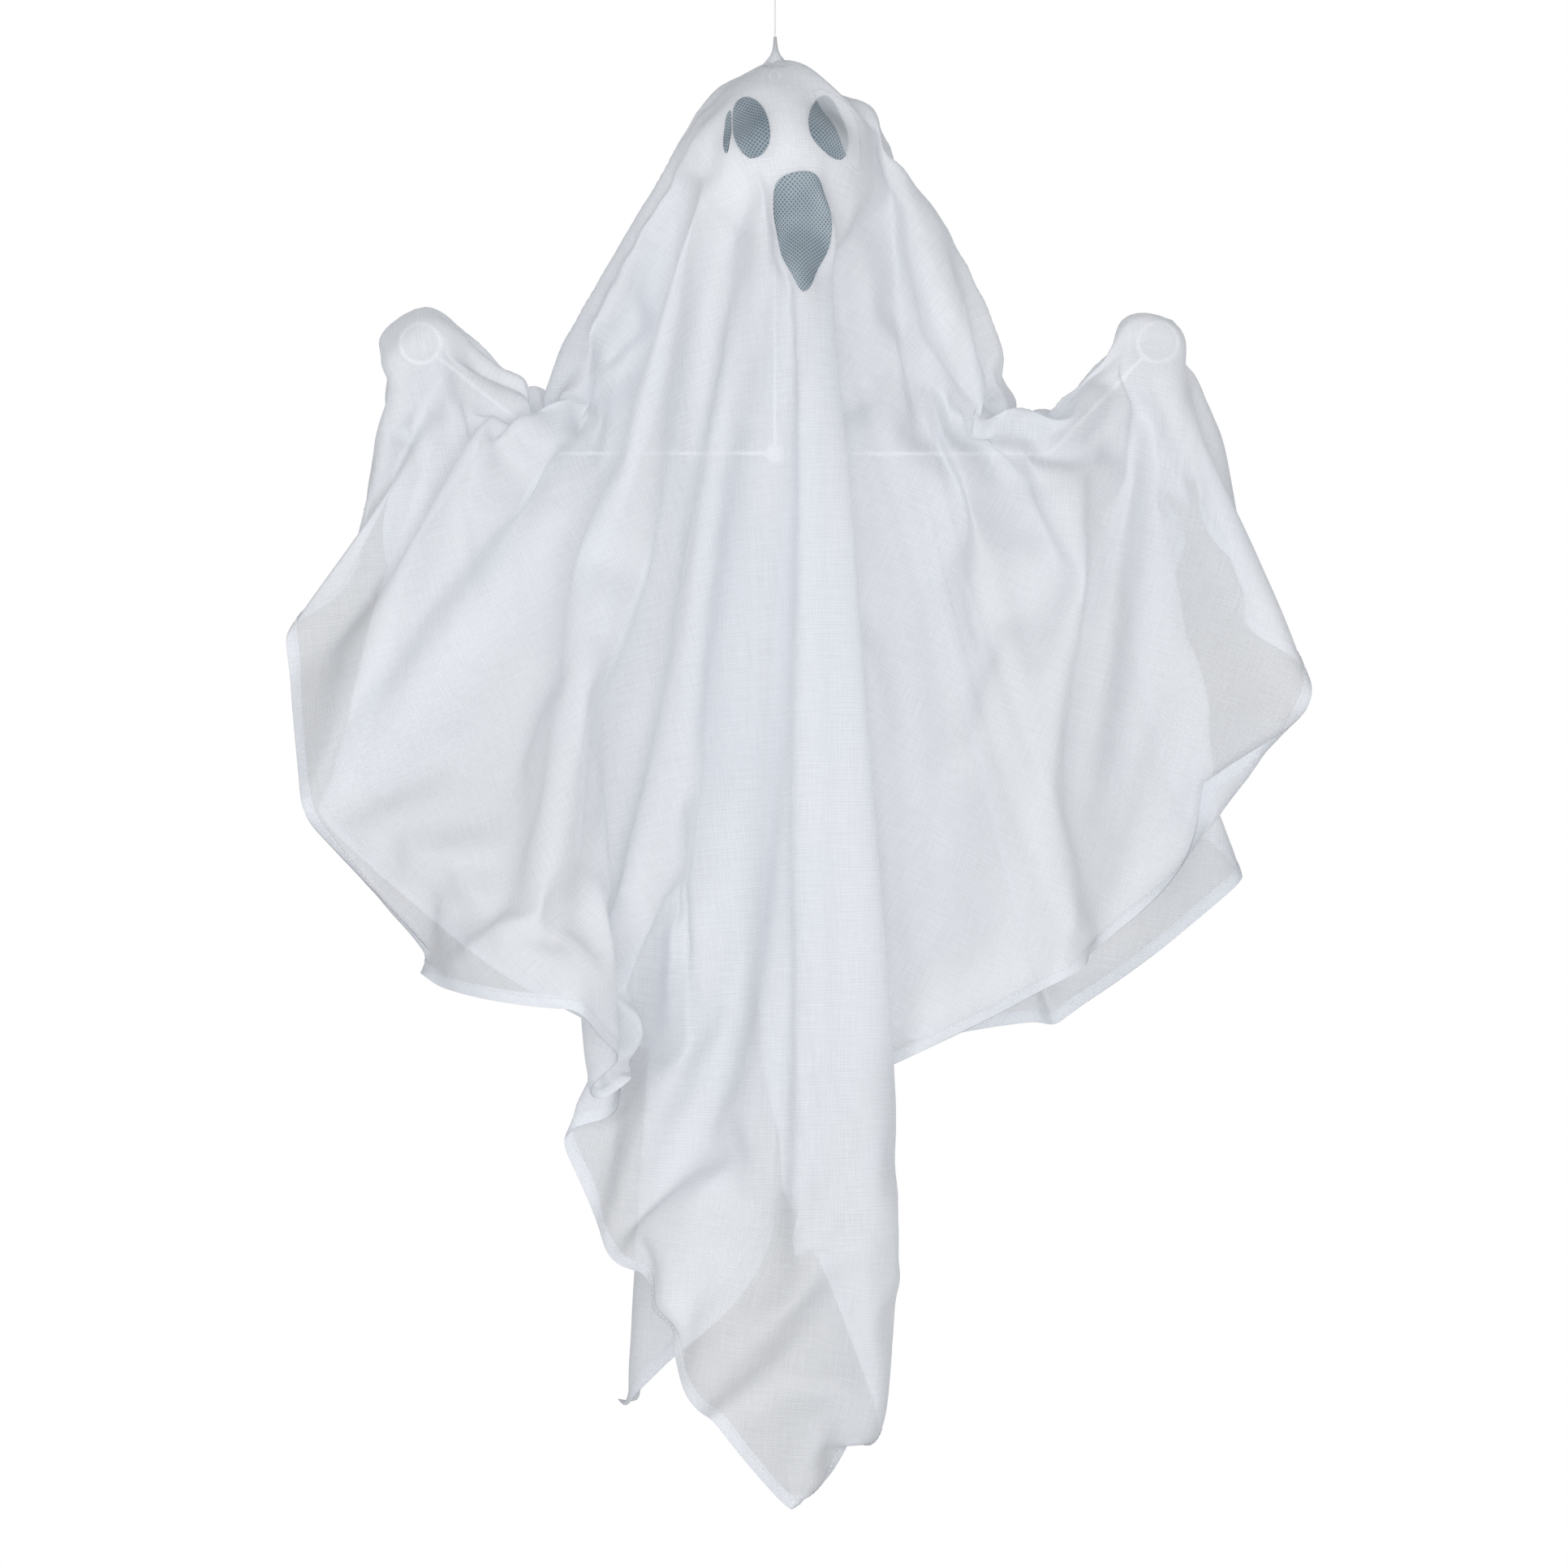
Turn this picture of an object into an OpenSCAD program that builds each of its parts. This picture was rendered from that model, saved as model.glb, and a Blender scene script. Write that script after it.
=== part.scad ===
// Hanging ghost decoration: a sheer sheet of cloth draped over a foam ball and two
// wire arms, hung from a thread. Millimetres, +Z up, the ghost faces -Y.
// The origin is the bearing point inside the top of the hanging loop.

/* [Hanger] */
// Diameter of the hanging thread and of its loop
thread_d = 0.8; // [0.6:0.1:1.2]
// Height of the hanging loop, from its bearing point to its knot
loop_h = 25; // [20:1:40]
// Clear width inside the hanging loop
loop_w = 10; // [8:1:16]
// Diameter of the knot that closes the loop
knot_d = 3.4; // [3:0.1:5]
// Drop from the bearing point of the loop to the crown of the cloth
crown_drop = 82; // [70:1:120]
// Height of the pinched peak that the thread draws out of the crown
peak_h = 13; // [8:1:16]

/* [Head] */
// Diameter of the foam ball
head_d = 96; // [80:1:116]
// Gap between the crown of the cloth and the top of the ball
crown_gap = 14; // [12:1:20]

/* [Wire frame] */
// Diameter of the frame wire
wire_d = 3; // [2.4:0.1:3.6]
// Drop from the crown to the shoulder rivet
shoulder_drop = 246; // [220:1:300]
// Diameter of the shoulder rivet
rivet_d = 3; // [2.4:0.1:3.6]
// Diameter of the rivet heads
rivet_head_d = 8; // [6:0.5:10]
// Diameter of the flattened wire ends at the rivet
tab_d = 12; // [9:0.5:16]
// Thickness of the flattened wire ends
tab_t = 2; // [1.6:0.1:2.6]

/* [Left arm] */
// Reach of the left elbow from the middle
left_elbow_out = 135; // [130:1:150]
// Reach of the left hand loop from the middle
left_hand_out = 222; // [200:1:240]
// Height of the left hand's top above the rivet
left_hand_rise = 83; // [60:1:100]

/* [Right arm] */
// Reach of the right elbow from the middle
right_elbow_out = 172; // [155:1:185]
// Reach of the right hand loop from the middle
right_hand_out = 240; // [225:1:260]
// Height of the right hand's top above the rivet
right_hand_rise = 84; // [60:1:100]
// Outer diameter of the wire loop at each hand
hand_loop_d = 28; // [22:1:34]

/* [Cloth] */
// Thickness of the cloth, folded layers counted together
cloth_t = 1.6; // [1.2:0.1:2]
// Drop from the crown to the tip of the front tail
front_drop = 900; // [820:5:1080]
// Drop from the crown to the tip of the back tail
back_drop = 842; // [760:5:1000]
// Half depth of the drape where the tails end
tail_depth = 150; // [110:1:180]
// Number of pleats across the front, and across the back
pleats = 5; // [4:1:6]
// Depth of a pleat at the hem
pleat_depth = 11; // [6:1:14]
// Reach of the left wing's outer corner from the middle
left_wing_out = 304; // [270:1:365]
// Reach of the right wing's outer corner from the middle
right_wing_out = 338; // [300:1:405]
// Depth of a fold at the foot of a wing
wing_fold = 7; // [3:0.5:8]

/* [Face] */
// Width of an eye patch
eye_w = 23; // [18:1:26]
// Height of an eye patch
eye_h = 38; // [30:1:44]
// Width of the mouth patch
mouth_w = 35; // [26:1:40]
// Height of the mouth patch
mouth_h = 71; // [50:1:80]
// Thickness of the patches
patch_t = 0.8; // [0.6:0.1:1.2]

/* [Hidden] */
$fn = 48;

// Clearances
run_gap = 0.3;
bore_gap = 0.1;
tab_gap = 0.2;

// Heights of the main levels
thread_r = thread_d / 2;
knot_r = knot_d / 2;
wire_r = wire_d / 2;
head_r = head_d / 2;
knot_z = -loop_h - run_gap - knot_r;
crown_z = -crown_drop;
peak_z = crown_z + peak_h;
head_z = crown_z - crown_gap - head_r;
head_low_z = head_z - head_r;
shoulder_z = crown_z - shoulder_drop;

// Eye at the top of the spine, tied to the thread under the crown
eye_wire_r = 1.25;
eye_ring_r = 3.25;
eye_z = head_z + head_r + eye_ring_r + eye_wire_r;
tie_r = eye_wire_r + bore_gap + thread_r;
tie_z = eye_z + eye_ring_r;
tie_knot_r = 1.3;
tie_knot_z = tie_z + tie_r + tie_knot_r;

// The thread hangs straight from the loop's knot to the knot on the spine
thread_top_z = knot_z - knot_r - run_gap;
thread_low_z = tie_knot_z + tie_knot_r + run_gap / 2;
thread_route = [[0, 0, thread_top_z], [0, 0, -45], [0, 0, -60], [0, 0, thread_low_z]];
thread_sides = 8;

// Swelling of the wire at its bend
elbow_swell = 0.3;

// Retaining collar under the ball
collar_d = 9;
collar_h = 5;

// Body drape by distance below the crown: half widths to the left and right, half depth
head_mid = crown_gap + head_r;
shoulder_row = shoulder_drop - 15;
body_left = [[-peak_h, thread_r + cloth_t + 0.4], [0, 5], [0.6 * crown_gap, 16],
             [crown_gap + 0.2 * head_r, 0.6 * head_r + 4.5], [crown_gap + 0.5 * head_r, 0.866 * head_r + 5],
             [head_mid, head_r + 11], [crown_gap + head_d, head_r + 33], [shoulder_row, head_r + 72],
             [420, head_r + 128], [560, head_r + 104], [700, head_r + 82], [1100, head_r + 70]];
body_right = [[-peak_h, thread_r + cloth_t + 0.4], [0, 5], [0.6 * crown_gap, 19],
              [crown_gap + 0.2 * head_r, 0.6 * head_r + 8], [crown_gap + 0.5 * head_r, 0.866 * head_r + 11],
              [head_mid, head_r + 18], [crown_gap + head_d, head_r + 39], [shoulder_row, head_r + 86],
              [420, head_r + 142], [560, head_r + 104], [700, head_r + 62], [1100, head_r + 50]];
body_deep = [[-peak_h, thread_r + cloth_t + 0.4], [0, 5], [0.6 * crown_gap, 16],
             [crown_gap + 0.2 * head_r, 0.6 * head_r + 5], [crown_gap + 0.5 * head_r, 0.866 * head_r + 5],
             [head_mid, head_r + 5], [crown_gap + head_d, head_r + 10], [shoulder_row, head_r + 24],
             [420, head_r + 38], [front_drop, tail_depth]];

// The sides of the drape open below the slit, so that the arms can rise and fall
slit_row = shoulder_drop - 52;
slit_end = shoulder_drop + 4;
slit_angle = 31;

// Rows of the panels: the crown closely, then evenly down to the hem
crown_rows = [-peak_h, -0.5 * peak_h, 0, 0.3 * crown_gap, 0.6 * crown_gap, crown_gap,
              crown_gap + 0.2 * head_r, crown_gap + 0.5 * head_r, head_mid];
fall_rows = 10;
panel_cols = 30;

// Hem of each panel across its width: share of the width, drop below the crown
front_hem = [[0, 560], [0.2, 600], [0.3, 640], [0.33, front_drop - 120], [0.38, front_drop - 80],
             [0.5333, front_drop], [0.64, front_drop - 62], [0.67, 650], [0.8, 600], [1, 545]];
back_hem = [[0, 550], [0.1, 620], [0.14, back_drop - 60], [0.2667, back_drop], [0.4, back_drop - 90],
            [0.56, 690], [0.62, 650], [0.8, 600], [1, 550]];

// Wings: rows down each flap, columns along the arm
wing_ridge_rows = 3;
wing_flap_rows = 9;
wing_cols = 17;
wing_folds = 3;
wing_gap = 8;
ridge_r = wire_r + run_gap + cloth_t;

// Places of the face on the front panel, from the middle and below the crown
eye_row = 43;
left_eye_x = -16;
right_eye_x = 33;
mouth_x = 17;
mouth_row = 106;
patch_gap = 1.1;
patch_rings = 6;
patch_spokes = 20;

// A round rod between two points
module rod(from, to, d) {
    run = to - from;
    flat = norm([run[0], run[1]]);
    translate(from)
        rotate([0, atan2(flat, run[2]), atan2(run[1], run[0])])
            cylinder(d = d, h = norm(run));
}

// A ring of round wire that stands in the XZ plane
module wire_ring(ring_r, wire_r) {
    rotate([90, 0, 0])
        rotate_extrude()
            translate([ring_r, 0])
                circle(wire_r);
}

// A flattened wire end with its rivet hole, lying in the XZ plane from y to y + tab_t
module rivet_tab(y) {
    translate([0, y + tab_t, shoulder_z])
        rotate([90, 0, 0])
            cylinder(d = tab_d, h = tab_t);
}

module rivet_hole() {
    translate([0, tab_d, shoulder_z])
        rotate([90, 0, 0])
            cylinder(d = rivet_d + 2 * bore_gap, h = 2 * tab_d);
}

// Triangles over a grid of points, and the walls that join two such grids at their edges
function quad(a, b, c, d) = [[a, b, c], [a, c, d]];
function skin(rows, cols, at, flip) =
    [for (r = [0 : rows - 2]) for (c = [0 : cols - 2])
        let (a = at + r * cols + c, b = a + 1, d = a + cols, e = d + 1)
            each flip ? quad(a, d, e, b) : quad(a, b, e, d)];
function rim(path, shift) =
    [for (i = [0 : len(path) - 2])
        each quad(path[i + 1], path[i], path[i] + shift, path[i + 1] + shift)];

// A sheet between an outer and an inner grid, seen from outside with rows going down
module sheet(outer, inner) {
    rows = len(outer);
    cols = len(outer[0]);
    count = rows * cols;
    top = [for (c = [0 : cols - 1]) c];
    right = [for (r = [0 : rows - 1]) r * cols + cols - 1];
    low = [for (c = [cols - 1 : -1 : 0]) (rows - 1) * cols + c];
    left = [for (r = [rows - 1 : -1 : 0]) r * cols];
    polyhedron(points = concat([for (row = outer) each row], [for (row = inner) each row]),
               faces = concat(skin(rows, cols, 0, false), skin(rows, cols, count, true),
                              rim(top, count), rim(right, count), rim(low, count), rim(left, count)),
               convexity = 8);
}

// Half width and half depth of the drape at a row, on the side that an angle points to
function half_w(row, angle) = lookup(row, cos(angle) < 0 ? body_left : body_right);
function half_d(row) = lookup(row, body_deep);

// How far the pleats stand out at a row, none over the head and all of it low down
function pleat_out(row) = pleat_depth * pow(max(0, min(1, (row - head_mid) / 500)), 0.8);
function pleat(row, share) = pleat_out(row) * (0.5 - 0.5 * cos(360 * pleats * share));

// A point of the drape, inset by a depth, at a row and an angle
function drape_point(row, angle, share, inset) =
    let (fold = pleat(row, share))
    [(half_w(row, angle) - inset - fold) * cos(angle),
     (half_d(row) - inset - fold) * sin(angle),
     crown_z - row];

// Angle by which the side of a panel stands back from the middle plane
function slit(row) = slit_angle * max(0, min(1, (row - slit_row) / (slit_end - slit_row)));

// One panel of the drape, side -1 for the front and 1 for the back
function panel_rows(hem) = concat(crown_rows,
    [for (i = [1 : fall_rows]) head_mid + (hem - head_mid) * i / fall_rows]);
function panel_grid(side, hem_table, inset) =
    let (columns = [for (c = [0 : panel_cols]) panel_rows(lookup(c / panel_cols, hem_table))])
    [for (r = [0 : len(columns[0]) - 1])
        [for (c = [0 : panel_cols])
            let (share = c / panel_cols, row = columns[c][r], back = slit(row),
                 angle = 180 - back - share * (180 - 2 * back))
            drape_point(row, side * angle, share, inset)]];

// The wings: tables along the arm of the ridge and the hem, as [share, out, height]
function along(table, share, item) = lookup(share, [for (p = table) [p[0], p[item]]]);

// Half width of the body where a wing starts, with the wing's clearance
function wing_root(side) = half_w(shoulder_row, side < 0 ? 180 : 0) + wing_gap;

function hand_z(rise) = shoulder_z + rise - hand_loop_d / 2;

// Ridge of a wing over its wire, from the body to the outside of the hand
function wing_ridge(side, elbow, hand, rise) =
    let (lift = ridge_r, top = shoulder_z + rise + run_gap + cloth_t, half = hand_loop_d / 2,
         slope = (rise - half) / (hand - elbow), root = wing_root(side), past = max(0, root - elbow),
         bend = max(elbow + 2, root + 2))
    [[0, root, shoulder_z + lift + 0.5 + 1.2 * slope * past],
     [0.1, bend, shoulder_z + lift + 4 + 1.2 * slope * past],
     [0.45, hand - half - 6, top - 14], [0.6, hand - half + 2, top + 1], [0.8, hand + half - 2, top + 1],
     [1, hand + half + 10, top - 28]];

// Foot of a wing, from the body to the outer corner
function left_hem(flap) =
    [[0, wing_root(-1) + 18, shoulder_z - 372 - 12 * flap],
     [0.3, 201, shoulder_z - 326 - 30 * flap], [0.6, 262, shoulder_z - 270 - 20 * flap],
     [0.85, left_wing_out - 8, shoulder_z - 227 + 20 * flap], [1, left_wing_out, shoulder_z - 135]];
function right_hem(flap) =
    [[0, wing_root(1) - 8, shoulder_z - 345 - 12 * flap],
     [0.3, 201, shoulder_z - 311 - 10 * flap], [0.5, 241, shoulder_z - 230 - 40 * flap],
     [0.75, right_wing_out - 41, shoulder_z - 174 - 85 * flap], [1, right_wing_out, shoulder_z - 152]];

// Rows of a wing from the foot of one flap over the ridge to the foot of the other
wing_rows = concat([for (i = [wing_flap_rows : -1 : 1]) [-1, i / wing_flap_rows, 90]],
                   [for (i = [-wing_ridge_rows : wing_ridge_rows])
                       [i < 0 ? -1 : 1, 0, 90 * abs(i) / wing_ridge_rows]],
                   [for (i = [1 : wing_flap_rows]) [1, i / wing_flap_rows, 90]]);

// Fold of a wing at a share of its length and of its fall
function wing_wave(share, fall, flap) =
    wing_fold * pow(fall, 0.7) * (1 + cos(360 * wing_folds * share + 60 * flap));

function wing_point(ridge, hem, way, y, share, row, inset) =
    let (flap = row[0], fall = row[1], turn = row[2], r = ridge_r - inset,
         out = along(ridge, share, 1), top = along(ridge, share, 2),
         foot_out = along(hem, share, 1), foot = along(hem, share, 2),
         stand = r * sin(turn) + 3 * fall + wing_wave(share, fall, flap))
    [way * (out + (foot_out - out) * fall),
     y + flap * stand,
     top - inset - r * (1 - cos(turn)) - (top - ridge_r - foot) * fall];

function wing_grid(ridge, hems, way, y, inset) =
    [for (row = wing_rows)
        [for (c = [0 : wing_cols])
            wing_point(ridge, row[0] < 0 ? hems[0] : hems[1], way, y, c / wing_cols, row, inset)]];

// A wing drawn from the back flap over to the front one, or the other way on the other side
module wing(ridge, hems, way, y) {
    outer = wing_grid(ridge, hems, way, y, 0);
    inner = wing_grid(ridge, hems, way, y, cloth_t);
    if (way < 0)
        sheet(outer, inner);
    else
        sheet([for (row = outer) [for (c = [wing_cols : -1 : 0]) row[c]]],
              [for (row = inner) [for (c = [wing_cols : -1 : 0]) row[c]]]);
}

// Face patches: a point of the front at an angle and a row, raised by a height
function front_point(angle, row, raise) = drape_point(row, -angle, 0, -raise);

// An oval patch that lies on the front, with a taper that draws its foot in
module patch(x, row, w, h, taper) {
    middle = acos(x / half_w(row, x < 0 ? 180 : 0));
    spread = w / 2 / half_d(row) * 180 / PI;
    function place(ring, spoke) =
        let (share = ring / patch_rings, a = 360 * spoke / patch_spokes, down = share * sin(a))
        [middle - spread * share * cos(a) * (1 - taper * down), row + h / 2 * down];
    function layer(raise) = concat([front_point(middle, row, raise)],
        [for (ring = [1 : patch_rings]) for (spoke = [0 : patch_spokes - 1])
            let (p = place(ring, spoke)) front_point(p[0], p[1], raise)]);
    count = 1 + patch_rings * patch_spokes;
    function at(ring, spoke) = 1 + (ring - 1) * patch_spokes + spoke % patch_spokes;
    function disc(shift, flip) = concat(
        [for (s = [0 : patch_spokes - 1])
            let (b = shift + at(1, s), c = shift + at(1, s + 1)) flip ? [shift, c, b] : [shift, b, c]],
        [for (ring = [1 : patch_rings - 1]) for (s = [0 : patch_spokes - 1])
            let (a = shift + at(ring, s), b = shift + at(ring, s + 1),
                 c = shift + at(ring + 1, s + 1), d = shift + at(ring + 1, s))
            each flip ? quad(a, b, c, d) : quad(a, d, c, b)]);
    edge = [for (s = [0 : patch_spokes]) at(patch_rings, s)];
    polyhedron(points = concat(layer(patch_gap + patch_t), layer(patch_gap)),
               faces = concat(disc(0, false), disc(count, true), rim(edge, count)), convexity = 4);
}

// Hanger
module hanging_loop() {
    bow_r = loop_w / 2 + thread_r;
    bow_z = -loop_w / 2;
    color("white") {
        translate([0, 0, bow_z])
            rotate([90, 0, 0])
                rotate_extrude(angle = 180)
                    translate([bow_r, 0])
                        circle(thread_r);
        for (side = [-1, 1])
            rod([side * bow_r, 0, bow_z], [side * thread_d * 0.7, 0, -loop_h], thread_d);
    }
}

module loop_knot() {
    color("white")
        translate([0, 0, knot_z])
            sphere(d = knot_d);
}

module hanging_thread() {
    rings = len(thread_route);
    points = [for (p = thread_route) for (s = [0 : thread_sides - 1])
        p + thread_r * [cos(360 * s / thread_sides), sin(360 * s / thread_sides), 0]];
    walls = [for (r = [0 : rings - 2]) for (s = [0 : thread_sides - 1])
        let (a = r * thread_sides + s, b = r * thread_sides + (s + 1) % thread_sides)
        each quad(a, b, b + thread_sides, a + thread_sides)];
    caps = [[for (s = [thread_sides - 1 : -1 : 0]) s],
            [for (s = [0 : thread_sides - 1]) (rings - 1) * thread_sides + s]];
    color("white")
        polyhedron(points = points, faces = concat(walls, caps));
}

module thread_knot() {
    color("white") {
        translate([0, 0, tie_knot_z])
            sphere(r = tie_knot_r);
        translate([0, 0, tie_z])
            rotate([0, 0, 90])
                wire_ring(tie_r, thread_r);
    }
}

// Head and frame
module head_ball() {
    color("whitesmoke")
        difference() {
            translate([0, 0, head_z])
                sphere(r = head_r, $fn = 96);
            translate([0, 0, head_z - head_d])
                cylinder(d = wire_d + 2 * bore_gap, h = 2 * head_d);
        }
}

module ball_collar() {
    color("silver")
        translate([0, 0, head_low_z - collar_h])
            difference() {
                cylinder(d = collar_d, h = collar_h);
                translate([0, 0, -collar_h])
                    cylinder(d = wire_d + 2 * bore_gap, h = 3 * collar_h);
            }
}

module spine_wire() {
    top = [0, 0, eye_z - eye_ring_r];
    color("silver")
        difference() {
            union() {
                translate([0, 0, eye_z])
                    wire_ring(eye_ring_r, eye_wire_r);
                rod([0, 0, shoulder_z + tab_d / 4], top, wire_d);
                rivet_tab(-tab_t / 2);
            }
            rivet_hole();
            for (side = [-1, 1])
                translate([-tab_d, side > 0 ? tab_t / 2 : -tab_d - tab_t / 2, shoulder_z - tab_d])
                    cube([2 * tab_d, tab_d, 2 * tab_d]);
        }
}

module shoulder_rivet() {
    stack = 3 * tab_t + 4 * tab_gap;
    head_t = 1.6;
    color("silver")
        translate([0, stack / 2, shoulder_z])
            rotate([90, 0, 0]) {
                cylinder(d = rivet_d, h = stack);
                translate([0, 0, -head_t])
                    cylinder(d = rivet_head_d, h = head_t);
                translate([0, 0, stack])
                    cylinder(d = rivet_head_d, h = head_t);
            }
}

// An arm: way is -1 to the left and 1 to the right, y is the middle of its tab
function arm_y(way) = way * (tab_t + tab_gap);
module arm_wire(way, elbow, hand, rise) {
    y = arm_y(way);
    ring_r = hand_loop_d / 2 - wire_r;
    middle = [way * hand, y, hand_z(rise)];
    bend = [way * elbow, y, shoulder_z];
    reach = middle - bend;
    wrist = bend + reach * (1 - ring_r / norm(reach));
    color("silver")
        difference() {
            union() {
                rivet_tab(y - tab_t / 2);
                difference() {
                    rod([way * tab_d / 4, y, shoulder_z], bend, wire_d);
                    for (side = [-1, 1])
                        translate([-tab_d, y + (side > 0 ? tab_t / 2 : -tab_d - tab_t / 2), shoulder_z - tab_d])
                            cube([2 * tab_d, tab_d, 2 * tab_d]);
                }
                translate(bend)
                    sphere(r = wire_r + elbow_swell);
                rod(bend, wrist, wire_d);
                translate(middle)
                    wire_ring(ring_r, wire_r);
            }
            rivet_hole();
        }
}

module left_arm_wire() arm_wire(-1, left_elbow_out, left_hand_out, left_hand_rise);
module right_arm_wire() arm_wire(1, right_elbow_out, right_hand_out, right_hand_rise);

// Cloth
module shroud_front() {
    color("ghostwhite")
        sheet(panel_grid(-1, front_hem, 0), panel_grid(-1, front_hem, cloth_t));
}

module shroud_back() {
    outer = panel_grid(1, back_hem, 0);
    inner = panel_grid(1, back_hem, cloth_t);
    color("ghostwhite")
        sheet([for (row = outer) [for (c = [panel_cols : -1 : 0]) row[c]]],
              [for (row = inner) [for (c = [panel_cols : -1 : 0]) row[c]]]);
}

module left_wing() {
    color("ghostwhite")
        wing(wing_ridge(-1, left_elbow_out, left_hand_out, left_hand_rise),
             [left_hem(0), left_hem(1)], -1, arm_y(-1));
}

module right_wing() {
    color("ghostwhite")
        wing(wing_ridge(1, right_elbow_out, right_hand_out, right_hand_rise),
             [right_hem(0), right_hem(1)], 1, arm_y(1));
}

// Face
module left_eye() {
    color("slategray")
        patch(left_eye_x, eye_row, eye_w, eye_h, 0);
}

module right_eye() {
    color("slategray")
        patch(right_eye_x, eye_row, eye_w, eye_h, 0);
}

module mouth() {
    color("slategray")
        patch(mouth_x, mouth_row, mouth_w, mouth_h, 0.18);
}

hanging_loop();
loop_knot();
hanging_thread();
thread_knot();
head_ball();
ball_collar();
spine_wire();
shoulder_rivet();
left_arm_wire();
right_arm_wire();
shroud_front();
shroud_back();
left_wing();
right_wing();
left_eye();
right_eye();
mouth();
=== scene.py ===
import math

import bmesh
import bpy
import numpy as np
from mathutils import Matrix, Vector


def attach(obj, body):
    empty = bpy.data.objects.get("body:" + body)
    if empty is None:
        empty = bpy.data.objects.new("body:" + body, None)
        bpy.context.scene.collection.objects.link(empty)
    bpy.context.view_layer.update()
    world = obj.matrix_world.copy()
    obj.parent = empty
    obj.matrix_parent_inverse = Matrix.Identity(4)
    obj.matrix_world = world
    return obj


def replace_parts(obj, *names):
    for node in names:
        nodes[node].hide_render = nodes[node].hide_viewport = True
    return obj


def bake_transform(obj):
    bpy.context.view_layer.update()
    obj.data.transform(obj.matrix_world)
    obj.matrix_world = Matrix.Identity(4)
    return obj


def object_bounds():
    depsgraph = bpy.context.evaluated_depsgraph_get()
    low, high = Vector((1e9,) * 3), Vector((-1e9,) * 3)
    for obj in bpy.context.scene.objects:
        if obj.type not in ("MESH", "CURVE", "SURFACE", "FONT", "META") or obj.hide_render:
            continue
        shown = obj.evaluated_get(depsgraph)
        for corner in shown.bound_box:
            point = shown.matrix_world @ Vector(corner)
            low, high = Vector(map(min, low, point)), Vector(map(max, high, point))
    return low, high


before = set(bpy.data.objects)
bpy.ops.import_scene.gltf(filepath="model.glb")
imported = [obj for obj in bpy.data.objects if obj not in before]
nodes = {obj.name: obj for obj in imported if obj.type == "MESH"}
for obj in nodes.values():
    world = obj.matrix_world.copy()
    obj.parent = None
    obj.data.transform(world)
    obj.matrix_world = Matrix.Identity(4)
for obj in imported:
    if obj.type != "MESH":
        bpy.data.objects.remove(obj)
cad_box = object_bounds()
scene = bpy.context.scene
scene.view_settings.view_transform = "Standard"

# Photo: a pixel's place on the plane through the thread
PHOTO_SIDE = 1932
PIXEL = 0.5085e-3
CROWN_X = 955
CROWN_Y = 75
CROWN_Z = -0.082


def place(x, y):
    """Frame x and z of a pixel of the photo."""
    return (x - CROWN_X) * PIXEL, CROWN_Z - (y - CROWN_Y) * PIXEL


def link(name, data):
    """A new object in the scene."""
    made = bpy.data.objects.new(name, data)
    scene.collection.objects.link(made)
    return made


def mesh_object(name, points, faces):
    """A new mesh object from points and faces, shaded smooth."""
    mesh = bpy.data.meshes.new(name)
    corners = [tuple(int(v) for v in f) for f in faces]
    mesh.from_pydata(np.asarray(points, float).tolist(), [], corners)
    mesh.update()
    mesh.polygons.foreach_set("use_smooth", [True] * len(mesh.polygons))
    return link(name, mesh)


# Camera: level with the middle of the photo, far enough off for a long lens
LENS = 120
SENSOR = 36
middle_x, middle_z = place(PHOTO_SIDE / 2, PHOTO_SIDE / 2)
camera_data = bpy.data.cameras.new("camera")
camera_data.lens = LENS
camera_data.sensor_width = SENSOR
camera = link("camera", camera_data)
CAMERA_AWAY = PHOTO_SIDE * PIXEL * LENS / SENSOR
camera.location = (middle_x, -CAMERA_AWAY, middle_z)
camera.rotation_euler = (math.pi / 2, 0, 0)
scene.camera = camera


def place_at(x, y, depth):
    """Frame point that shows at a pixel of the photo and lies at a depth."""
    at_x, at_z = place(x, y)
    near = 1 + depth / CAMERA_AWAY
    return middle_x + (at_x - middle_x) * near, depth, middle_z + (at_z - middle_z) * near


def shown(points):
    """Places on the photo's plane where the camera shows points."""
    near = CAMERA_AWAY / (CAMERA_AWAY + points[:, 1])
    at_x = middle_x + (points[:, 0] - middle_x) * near
    at_z = middle_z + (points[:, 2] - middle_z) * near
    return np.stack([at_x, at_z], 1)


# Materials: sizes of what is woven, twisted or foamed, and helpers that add nodes
WHITE = (1, 1, 1, 1)
BLACK = (0, 0, 0, 1)
WAVE_SCALE = 0.1 * math.pi
VOILE_PITCH = 0.0011
MESH_PITCH = 0.0019
PLY_PITCH = 0.0007
WEAVE_WAVER = 0.5
PLY_WAVER = 0.3
SLUB_ALONG = 40.0
SLUB_ACROSS = 900.0
SLUB_OPENING = 0.16
VOILE_OPENING = (0.30, 0.50)
VEIL_OPENING = (0.60, 0.78)
MESH_OPENING = (0.06, 0.22)
LIGHT_THROUGH = 0.35
BEAD_SCALE = 260.0


def material(name):
    """A new node material and its tree, cleared."""
    made = bpy.data.materials.new(name)
    made.use_nodes = True
    made.node_tree.nodes.clear()
    return made, made.node_tree


def node(tree, kind, values=None, **settings):
    """A node with its settings and the values of its sockets."""
    made = tree.nodes.new("ShaderNode" + kind)
    for name, value in settings.items():
        setattr(made, name, value)
    for name, value in (values or {}).items():
        if isinstance(value, bpy.types.NodeSocket):
            tree.links.new(value, made.inputs[name])
        else:
            made.inputs[name].default_value = value
    return made


def math_node(tree, operation, first, second):
    """The result of a sum on two values."""
    return node(tree, "Math", {0: first, 1: second}, operation=operation).outputs[0]


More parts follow.
